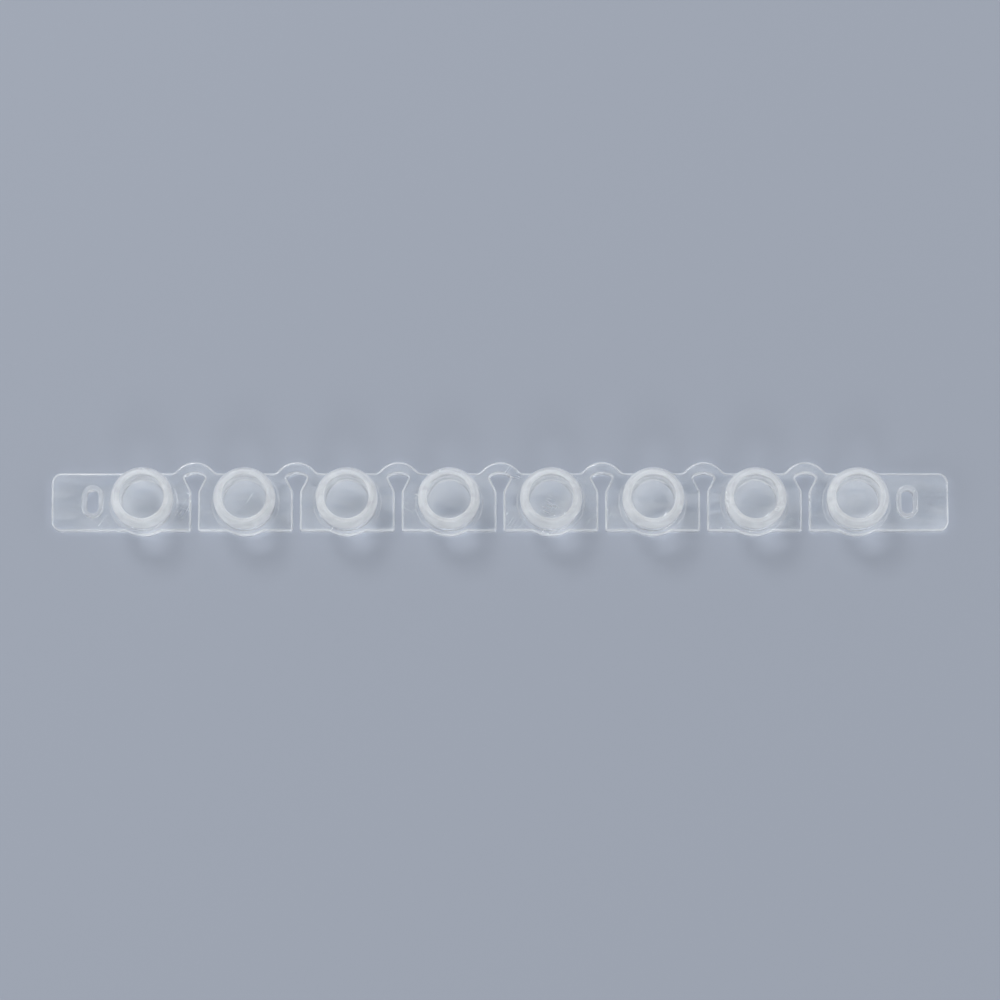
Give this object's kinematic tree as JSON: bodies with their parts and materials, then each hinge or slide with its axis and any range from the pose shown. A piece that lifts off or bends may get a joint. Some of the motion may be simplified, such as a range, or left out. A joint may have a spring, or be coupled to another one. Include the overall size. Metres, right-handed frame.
{
  "type": "reaction tube cap strip",
  "caption": "Flat clear plastic strip of hollow sealing plugs for a row of small reaction tubes, joined by springy keyhole loops, with a finger tab and a raised eyelet at each end.",
  "frame": {"origin": "on the centre line of the caps, under the middle of the row, on the flat face that the strip lies on; the loops stand out to +Y, so the bounding box's centre is 0.3 mm to +Y of it", "axes": "+X along the row of caps, +Y across the strip towards the loops, +Z out of the plugs' mouths"},
  "size_m": [0.0794, 0.0066, 0.0043],
  "materials": {
    "clear_polypropylene": "clear natural polypropylene, slightly milky, glossy"
  },
  "bodies": {
    "root": {"cap_strip": "clear_polypropylene"}
  },
  "joints": []
}
